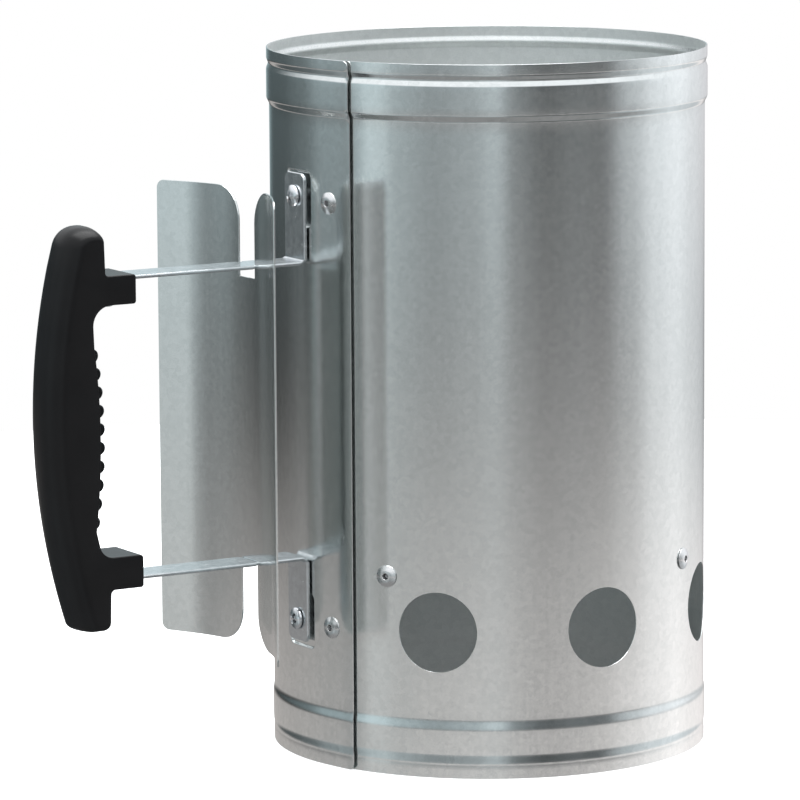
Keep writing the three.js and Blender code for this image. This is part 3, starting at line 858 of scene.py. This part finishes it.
def grip_screw(side):
    """The self-tapping screw under a lug, made along +X and turned to point up."""
    name = f"grip_screw_{side}"
    low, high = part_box(name)
    head_radius = (high.y - low.y) / 2
    head_height = 2.1 * MM
    seat = low.z + head_height + GAP
    shank_radius = 1.6 * MM
    point = high.z
    shank = [(shank_radius, x) for x in np.arange(seat, point - 2 * MM, 0.1 * MM)]
    head = [(r, 2 * seat - x) for r, x in pan_head(seat, head_radius, head_height)]
    profile = [*reversed(head), *shank, (0.5 * MM, point - 0.5 * MM), (0, point)]
    mesh = turned_mesh(name, profile, 40, thread(seat + 0.3 * MM, point - 0.5 * MM, 1.3 * MM, 0.3 * MM))
    cutter = cross_cutter(0, 1.9 * MM, 0.9 * MM, 1.4 * MM)
    cutter.transform(Matrix.Translation((seat - head_height, 0, 0)) @ Matrix.Rotation(math.pi, 4, "Z"))
    mesh = cut(mesh, cutter)
    place = Matrix.Translation((AXIS.x - GRIP_SCREW_OUT, AXIS.y, 0))
    mesh.transform(place @ Matrix.Rotation(-math.pi / 2, 4, "Y"))
    finish_piece(f"{name}_self_tapper", mesh, "mandrel_steel", raw_steel, name)


# --- The grip ---

grip_low, grip_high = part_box("handle_grip")
GRIP_HALF = (grip_high.y - grip_low.y) / 2
LUG_ENDS = {"upper": 179.8 * MM, "lower": AXIS.x - grip_high.x}
CROWN_REACH = AXIS.x - grip_low.x
CROWN_RADIUS = 275 * MM
CROWN_MIDDLE = 157 * MM
END_FACES = {"upper": 194.1 * MM, "lower": 193.2 * MM}
LUG_TOPS = {"upper": (206.2 * MM, 218.7 * MM), "lower": (85.2 * MM, 99.2 * MM)}
PALM_REACH = 197.3 * MM
PALM_RADIUS = 310 * MM
PALM_MIDDLE = 150 * MM
THUMB_REACH = 197 * MM
RIB_COUNT = 10
RIB_RADIUS = 2.7 * MM
RIB_PITCH = 7.88 * MM
RIB_LOW = 114.3 * MM
RIB_TIP = 193.5 * MM
RIB_TIP_RADIUS = 220 * MM
RIB_HALF_LENGTH = 10.2 * MM


def bulge(height, middle, reach, radius):
    return reach + (height - middle) ** 2 / (2 * radius)


def palm(height):
    return bulge(height, PALM_MIDDLE, PALM_REACH, PALM_RADIUS)


def crown(height):
    return bulge(height, CROWN_MIDDLE, CROWN_REACH, -CROWN_RADIUS)


def rib_profile(middle):
    """(out, up) points over one rib, from below it to above it."""
    centre = bulge(middle, PALM_MIDDLE, RIB_TIP, RIB_TIP_RADIUS) + RIB_RADIUS
    foot = 0.9 * MM
    points = arc(centre, middle, RIB_RADIUS, 270, 90, 15)
    lower = []
    for turn in np.radians([0, 22, 45, 68]):
        out = palm(middle) - (palm(middle) - centre) * (1 - math.cos(turn))
        lower.append((out, middle - RIB_RADIUS - foot + foot * math.sin(turn)))
    higher = [(out, 2 * middle - up) for out, up in reversed(lower)]
    return lower + points + higher


# How the grip's sides are rounded over: how far each face has fallen in at the side, and over what
# width it falls.
BACK_ROUNDING = (8.5 * MM, 11.6 * MM)
TOP_ROUNDING = (5.5 * MM, 10.5 * MM)
BOTTOM_ROUNDING = (1.6 * MM, 3.0 * MM)
END_ROUNDING = (1.4 * MM, 2.4 * MM)
INNER_ROUNDING = (0.5 * MM, 0.9 * MM)


def fallen_in(rounding, across):
    depth, width = rounding
    share = min(1, max(0, 1 - (GRIP_HALF - across) / width))
    return depth * (1 - math.sqrt(1 - share**2))


def grip_section(across):
    """The side view, cut at a distance from the middle plane, as the same number of (out, up) points."""
    inner = fallen_in(INNER_ROUNDING, across)
    end = fallen_in(END_ROUNDING, across)
    back = fallen_in(BACK_ROUNDING, across)
    low = grip_low.z + fallen_in(BOTTOM_ROUNDING, across)
    high = grip_high.z - fallen_in(TOP_ROUNDING, across)
    slimmer = 1 - (back + end) / (crown(low) - END_FACES["lower"])
    lower, upper = LUG_TOPS["lower"], LUG_TOPS["upper"]
    rib_end = min(1, max(0, 1 + (across - RIB_HALF_LENGTH) / RIB_RADIUS))
    rib_share = math.sqrt(1 - rib_end**2)
    ribs = [RIB_LOW + i * RIB_PITCH for i in range(RIB_COUNT)]
    over_ribs = [point for middle in reversed(ribs) for point in reversed(rib_profile(middle))]
    return rounded([
        (LUG_ENDS["lower"] + inner, lower[0] + inner, 1.2 * MM),
        (END_FACES["lower"] + inner, lower[0] + inner, 2 * MM),
        (END_FACES["lower"] + end, low, 5.5 * MM * slimmer),
        (crown(low) - back, low, 3.5 * MM * slimmer),
        *[(crown(z) - back, z, 0) for z in np.linspace(low + 5 * MM, high - 16 * MM, 60)],
        (crown(high) - back, high, 11 * MM * slimmer),
        (END_FACES["upper"] + end, high, 5.5 * MM * slimmer),
        (END_FACES["upper"] + inner, upper[1] - inner, 1.5 * MM),
        (LUG_ENDS["upper"] + inner, upper[1] - inner, 1.2 * MM),
        (LUG_ENDS["upper"] + inner, upper[0] + inner, 1.2 * MM),
        (palm(upper[0]) - 2 * MM + inner, upper[0] + inner, 8.5 * MM),
        *[(palm(up) + rib_share * (out - palm(up)) + inner, up, 0) for out, up in over_ribs],
        (THUMB_REACH + inner, lower[1] - inner, 6.5 * MM),
        (LUG_ENDS["lower"] + inner, lower[1] - inner, 1.5 * MM),
    ], points=10)


def handle_grip():
    rows = []
    for turn in np.radians(range(0, 91, 3)):
        across = GRIP_HALF * math.sin(turn)
        rows.append(np.array([(out, across, up) for out, up in grip_section(across)]))
    rows = [row * np.array([1, -1, 1]) for row in reversed(rows[1:])] + rows
    count = len(rows[0])
    vertices = np.concatenate(rows)
    faces = rings_joined(len(rows), count, False)
    for k, turned_round in ((0, True), (len(rows) - 1, False)):
        loop = [Vector((rows[k][i, 0], rows[k][i, 2])) for i in range(count)]
        edges = [(i, (i + 1) % count) for i in range(count)]
        _, _, side, *_ = delaunay_2d_cdt(loop, edges, [], 1, 1e-9)
        for face in side:
            corners = [k * count + i for i in face]
            faces.append(corners[::-1] if turned_round else corners)
    placed = outwards(vertices[:, 0], vertices[:, 1], vertices[:, 2])
    mesh = outward_faces(new_mesh("handle_grip_moulding", placed.tolist(), faces), 60)
    for side in SIDES:
        mesh = cut(mesh, lug_slot(side))
    finish_piece("handle_grip_moulding", mesh, "black_plastic", black_plastic, "handle_grip")


def lug_slot(side):
    """The slot that a strap's end slides into."""
    level = strap_level(side)
    half_height = STRAP_THICKNESS / 2 + GAP
    half_width = STRAP_HALF + 0.4 * MM
    mesh = bpy.data.meshes.new("slot")
    build = bmesh.new()
    start, end = LUG_ENDS[side] - 5 * MM, STRAP_END + GAP
    size = Matrix.Diagonal((end - start, 2 * half_width, 2 * half_height, 1))
    middle = Matrix.Translation((AXIS.x - (start + end) / 2, AXIS.y, level))
    bmesh.ops.create_cube(build, size=1, matrix=middle @ size)
    build.to_mesh(mesh)
    build.free()
    return mesh


# --- Materials ---


class Nodes:
    """A short way to write shader nodes."""

    def __init__(self, tree):
        self.tree = tree

    def add(self, kind, **inputs):
        node = self.tree.nodes.new(kind)
        for name, value in inputs.items():
            self.feed(node.inputs[name.replace("_", " ")], value)
        return node

    def feed(self, socket, value):
        if isinstance(value, bpy.types.NodeSocket):
            self.tree.links.new(value, socket)
        else:
            socket.default_value = value

    def operated(self, kind, operation, *values):
        node = self.add(kind)
        node.operation = operation
        for socket, value in zip(node.inputs, values):
            self.feed(socket, value)
        return node

    def math(self, operation, *values):
        return self.operated("ShaderNodeMath", operation, *values).outputs["Value"]

    def total(self, *terms):
        """The sum of (value, weight) terms."""
        added_up = 0.0
        for value, weight in terms:
            added_up = self.math("MULTIPLY_ADD", value, weight, added_up)
        return added_up

    def ranged(self, value, low, high, old_low=0.0, old_high=1.0, interpolation="LINEAR"):
        node = self.add(
            "ShaderNodeMapRange", Value=value, From_Min=old_low, From_Max=old_high, To_Min=low, To_Max=high
        )
        node.interpolation_type = interpolation
        return node.outputs["Result"]

    def mixed(self, share, first, second):
        node = self.tree.nodes.new("ShaderNodeMix")
        node.data_type = "RGBA"
        self.feed(node.inputs["Factor"], share)
        self.feed(node.inputs[6], first)
        self.feed(node.inputs[7], second)
        return node.outputs[2]


class MaterialNodes(Nodes):
    """The nodes of a new material."""

    def __init__(self, name):
        self.material = bpy.data.materials.new(name)
        self.material.use_nodes = True
        super().__init__(self.material.node_tree)
        self.shader = self.tree.nodes["Principled BSDF"]
        coordinates = self.add("ShaderNodeTexCoord")
        self.place = coordinates.outputs["Object"]
        self.normal = coordinates.outputs["Normal"]

    def stretched(self, x, y, z):
        return self.add("ShaderNodeMapping", Vector=self.place, Scale=(x, y, z)).outputs["Vector"]

    def noise(self, scale, detail=3.0, vector=None, roughness=0.5):
        vector = vector or self.place
        node = self.add("ShaderNodeTexNoise", Vector=vector, Scale=scale, Detail=detail, Roughness=roughness)
        return node.outputs["Fac"]

    def cells(self, scale):
        node = self.add("ShaderNodeTexVoronoi", Vector=self.place, Scale=scale)
        return self.add("ShaderNodeSeparateColor", Color=node.outputs["Color"]).outputs["Red"]

    def facing_out(self):
        """How far out from the chimney's axis a point is, along the way that its surface faces."""
        kind = "ShaderNodeVectorMath"
        from_axis = self.operated(kind, "SUBTRACT", self.place, AXIS).outputs["Vector"]
        return self.operated(kind, "DOT_PRODUCT", from_axis, self.normal).outputs["Value"]

    def bump(self, height, strength, distance):
        node = self.add("ShaderNodeBump", Strength=strength, Distance=distance, Height=height)
        self.feed(self.shader.inputs["Normal"], node.outputs["Normal"])

    def set(self, **values):
        for name, value in values.items():
            self.feed(self.shader.inputs[name.replace("_", " ")], value)


def galvanised_material(name, inner_dullness):
    """Satin galvanised sheet: soft spangle, faint streaks from rolling, and a fine mottle.

    Its side towards the chimney's axis can be duller.
    """
    nodes = MaterialNodes(name)
    spangle = nodes.cells(420.0)
    cloud = nodes.noise(38.0, 5.0, roughness=0.62)
    streaks = nodes.noise(700.0, 2.0, nodes.stretched(1, 1, 0.02))
    mottle = nodes.noise(520.0, 5.0, roughness=0.65)
    grain = nodes.noise(1500.0, 3.0, roughness=0.7)
    mix = nodes.total((spangle, 0.2), (cloud, 0.2), (grain, 0.6))
    dull = nodes.ranged(nodes.facing_out(), inner_dullness, 0.0, -0.05, 0.0)
    nodes.set(
        Base_Color=nodes.mixed(mix, (0.62, 0.65, 0.645, 1), (0.88, 0.90, 0.895, 1)),
        Metallic=1.0,
        Roughness=nodes.total((nodes.ranged(mottle, 0.12, 0.19), 1), (streaks, 0.03), (dull, 1)),
    )
    nodes.bump(nodes.total((streaks, 0.4), (mottle, 0.3)), 0.14, 0.04 * MM)
    return nodes.material


def zinc_plate_material(name, low, high, roughness, mottled=0.08):
    """Zinc-plated metal: a fine grain along it, and a cloudy mottle."""
    nodes = MaterialNodes(name)
    grain = nodes.noise(900.0, 3.0, nodes.stretched(0.03, 1, 1))
    cloud = nodes.noise(260.0, 5.0, roughness=0.6)
    rough = nodes.total((nodes.ranged(cloud, roughness, roughness + mottled), 1), (grain, 0.05))
    nodes.set(Base_Color=nodes.mixed(cloud, low, high), Metallic=1.0, Roughness=rough)
    nodes.bump(nodes.total((grain, 1), (cloud, mottled * 12)), 0.12, 0.04 * MM)
    return nodes.material


def steel_material():
    nodes = MaterialNodes("raw_steel")
    cloud = nodes.noise(600.0, 4.0)
    nodes.set(
        Base_Color=nodes.mixed(cloud, (0.30, 0.30, 0.31, 1), (0.46, 0.46, 0.47, 1)),
        Metallic=1.0,
        Roughness=nodes.ranged(cloud, 0.32, 0.5),
    )
    nodes.bump(cloud, 0.15, 0.03 * MM)
    return nodes.material


def plastic_material():
    """Black moulding: a fine eroded texture, a little worn to a gloss."""
    nodes = MaterialNodes("black_plastic")
    grain = nodes.noise(2600.0, 3.0)
    wear = nodes.noise(60.0, 3.0)
    nodes.set(
        Base_Color=nodes.mixed(wear, (0.004, 0.004, 0.0045, 1), (0.007, 0.007, 0.0075, 1)),
        Roughness=nodes.total((nodes.ranged(wear, 0.24, 0.34), 1), (grain, 0.06)),
        Specular_IOR_Level=0.2,
    )
    nodes.bump(grain, 0.25, 0.06 * MM)
    return nodes.material


galvanised = galvanised_material("galvanised", 0.0)
chimney_sheet = galvanised_material("chimney_sheet", 0.3)
zinc_plate = zinc_plate_material("zinc_plate", (0.50, 0.53, 0.55, 1), (0.86, 0.89, 0.91, 1), 0.16, 0.12)
bright_zinc = zinc_plate_material("bright_zinc", (0.76, 0.77, 0.79, 1), (0.84, 0.85, 0.86, 1), 0.16)
aluminium = zinc_plate_material("aluminium", (0.72, 0.72, 0.72, 1), (0.82, 0.82, 0.82, 1), 0.2)
raw_steel = steel_material()
black_plastic = plastic_material()

outer_shell()
fire_grate()
heat_shield()
handle_grip()
for name in RIVETS:
    rivet(name)
for side in SIDES:
    handle_strap(side)
    strap_screw(side)
    strap_washer(side)
    strap_nut(side)
    grip_screw(side)


# --- The studio ---

# The camera of the photograph, its floor, and a square lamp overhead. Angles are in degrees. The floor inside
# the chimney's wall is painted a darker grey, as painted shade for the shadow there.
VIEW_AZIMUTH = -31.4
CAMERA_DISTANCE = 2.4255
CAMERA_HEIGHT = 0.521
CAMERA_YAW = -0.916
CAMERA_PITCH = 8.718
CAMERA_ROLL = -0.345
LENS = 251.76
FLOOR_RADIUS = 0.9
FLOOR_SHADE = 0.92
FLOOR_GLOW = 0.25
# Painted shade: the grey of the floor inside the chimney, darker than the studio floor's, stands in for the
# shadow of the wall and grate.
INSIDE_PAINTED_SHADE = 0.4
LIGHT_SIZE = 1.8
LIGHT_POWER = 50
LIGHT_HEIGHT = 1.9


def camera():
    data = bpy.data.cameras.new("camera")
    data.lens = LENS
    data.sensor_width = 36
    data.clip_end = 20
    made = added("camera", data)
    turn = Matrix.Rotation(math.radians(VIEW_AZIMUTH), 4, "Z")
    aim = Matrix.Rotation(math.radians(-CAMERA_YAW), 4, "Z")
    tilt = Matrix.Rotation(math.radians(90 - CAMERA_PITCH), 4, "X")
    roll = Matrix.Rotation(math.radians(CAMERA_ROLL), 4, "Z")
    stand = Matrix.Translation((AXIS.x, AXIS.y, 0))
    back = Matrix.Translation((0, -CAMERA_DISTANCE, CAMERA_HEIGHT))
    made.matrix_world = stand @ turn @ back @ aim @ tilt @ roll
    bpy.context.scene.camera = made


def floor(name, inner, outer, shade, glow):
    """A level ring or disc of the floor, round the chimney's axis, in a grey and with a glow. The disc inside
    the chimney gets a darker grey, which is painted shade.
    """
    segments = 128
    places = circle(AXIS.x, AXIS.y, outer, segments) + circle(AXIS.x, AXIS.y, inner, segments)
    mesh = new_mesh(name, [(*place, 0) for place in places], rings_joined(2, segments, False))
    made = added(name, mesh)
    nodes = MaterialNodes(name)
    nodes.set(
        Base_Color=(shade, shade, shade, 1),
        Roughness=0.9,
        Specular_IOR_Level=0.0,
        Emission_Color=(1, 1, 1, 1),
        Emission_Strength=glow,
    )
    mesh.materials.append(nodes.material)
    return made


# What the metal mirrors: how bright the studio is at some angles from the camera, to the right as
# it looks, just below the level of the lens, a little lower, and down towards the table.
SURROUNDINGS = [
    (-180, 0.60, 0.07, 0.50),
    (-155, 0.11, 0.04, 0.50),
    (-135, 0.12, 0.03, 0.53),
    (-112, 0.20, 0.06, 0.58),
    (-95, 0.44, 0.08, 0.55),
    (-80, 0.36, 0.11, 0.48),
    (-73, 0.60, 0.16, 0.54),
    (-66, 0.78, 0.66, 0.62),
    (-58, 0.74, 0.56, 0.62),
    (-50, 0.53, 0.28, 0.68),
    (-28, 0.38, 0.16, 0.83),
    (-8, 0.49, 0.17, 0.87),
    (4, 0.74, 0.20, 0.83),
    (14, 0.24, 0.20, 0.84),
    (30, 0.11, 0.13, 0.83),
    (48, 0.18, 0.15, 0.86),
    (62, 0.16, 0.11, 0.98),
    (80, 0.70, 0.18, 1.10),
    (100, 1.03, 0.68, 1.18),
    (118, 1.17, 0.83, 1.31),
    (140, 0.94, 0.70, 1.11),
    (156, 0.80, 0.60, 1.00),
    (180, 0.60, 0.07, 0.50),
]
# The tints at the left and right ends of a ring, and of the ceiling and the table.
COOL = ((0.80, 1.05, 1.11), (1.00, 0.98, 1.01))
LEVEL = ((0.94, 1.02, 1.02), (0.97, 0.99, 1.02))
WARM = ((1.06, 1.00, 0.97), (1.05, 0.99, 0.98))
DIMMED = ((0.70, 0.82, 0.85), (0.76, 0.79, 0.82))
CEILING = (1.12, 1.15, 1.18, 1)
TABLE = (0.30, 0.30, 0.30, 1)
# Between which sines of the angle of sight, up from level, the level ring gives way to each of the
# others: above, below, in the object's shade, at the ceiling and at the table.
HIGH, MIDDLE, LOW = (math.sin(math.radians(degrees)) for degrees in (-5.5, -8.5, -12.0))
SHADE_FADE = (-0.23, -0.28)
CEILING_FADE = (0.1, 0.4)
TABLE_FADE = (-0.45, -0.7)


def studio_world():
    """Mirrored surroundings, with a plain white backdrop where the camera looks past the object."""
    world = bpy.data.worlds.new("studio")
    bpy.context.scene.world = world
    world.use_nodes = True
    nodes = Nodes(world.node_tree)
    nodes.tree.nodes.clear()
    way = nodes.add("ShaderNodeTexCoord").outputs["Generated"]
    turned = nodes.add("ShaderNodeVectorRotate", Vector=way, Angle=math.radians(-270 - VIEW_AZIMUTH))
    turned.rotation_type = "Z_AXIS"
    split = nodes.add("ShaderNodeSeparateXYZ", Vector=turned.outputs["Vector"])
    angle = nodes.math("ARCTAN2", split.outputs["Y"], split.outputs["X"])
    share = nodes.ranged(angle, 0.0, 1.0, -math.pi, math.pi)

    def ring(column, tints):
        ramp = nodes.add("ShaderNodeValToRGB", Fac=share)
        elements = ramp.color_ramp.elements
        while len(elements) < len(SURROUNDINGS):
            elements.new(0.5)
        for element, row in zip(elements, SURROUNDINGS):
            place = (row[0] + 180) / 360
            element.position = place
            tint = Vector(tints[0]).lerp(Vector(tints[1]), place)
            element.color = (*(row[column] * tint), 1)
        ramp.color_ramp.interpolation = "EASE"
        return ramp.outputs["Color"]

    colour = ring(2, LEVEL)
    for (start, end), other in (
        ((MIDDLE, HIGH), ring(1, COOL)),
        ((MIDDLE, LOW), ring(3, WARM)),
        (SHADE_FADE, ring(1, DIMMED)),
        (CEILING_FADE, CEILING),
        (TABLE_FADE, TABLE),
    ):
        fade = nodes.ranged(split.outputs["Z"], 0.0, 1.0, start, end, "SMOOTHSTEP")
        colour = nodes.mixed(fade, colour, other)
    around = nodes.add("ShaderNodeBackground", Color=colour)
    backdrop = nodes.add("ShaderNodeBackground", Color=(1, 1, 1, 1))
    seen = nodes.add("ShaderNodeLightPath").outputs["Is Camera Ray"]
    either = nodes.add("ShaderNodeMixShader", Fac=seen)
    nodes.feed(either.inputs[1], around.outputs["Background"])
    nodes.feed(either.inputs[2], backdrop.outputs["Background"])
    nodes.add("ShaderNodeOutputWorld", Surface=either.outputs["Shader"])


def overhead_light():
    data = bpy.data.lights.new("overhead", "AREA")
    data.size = LIGHT_SIZE
    data.energy = LIGHT_POWER
    added("overhead", data).location = (AXIS.x, AXIS.y, LIGHT_HEIGHT)


camera()
chamber = WALL_RADIUS - 1.5 * MM
# Painted shade: the floor inside the wall is a darker grey than the studio floor, for the shade that the wall
# and grate cast on it.
floor("floor_inside_painted_shade", 0.01 * MM, chamber, INSIDE_PAINTED_SHADE, 0.0)
floor("studio_floor", chamber, FLOOR_RADIUS, FLOOR_SHADE, FLOOR_GLOW).visible_glossy = False
studio_world()
overhead_light()
bpy.context.scene.view_settings.view_transform = "Standard"
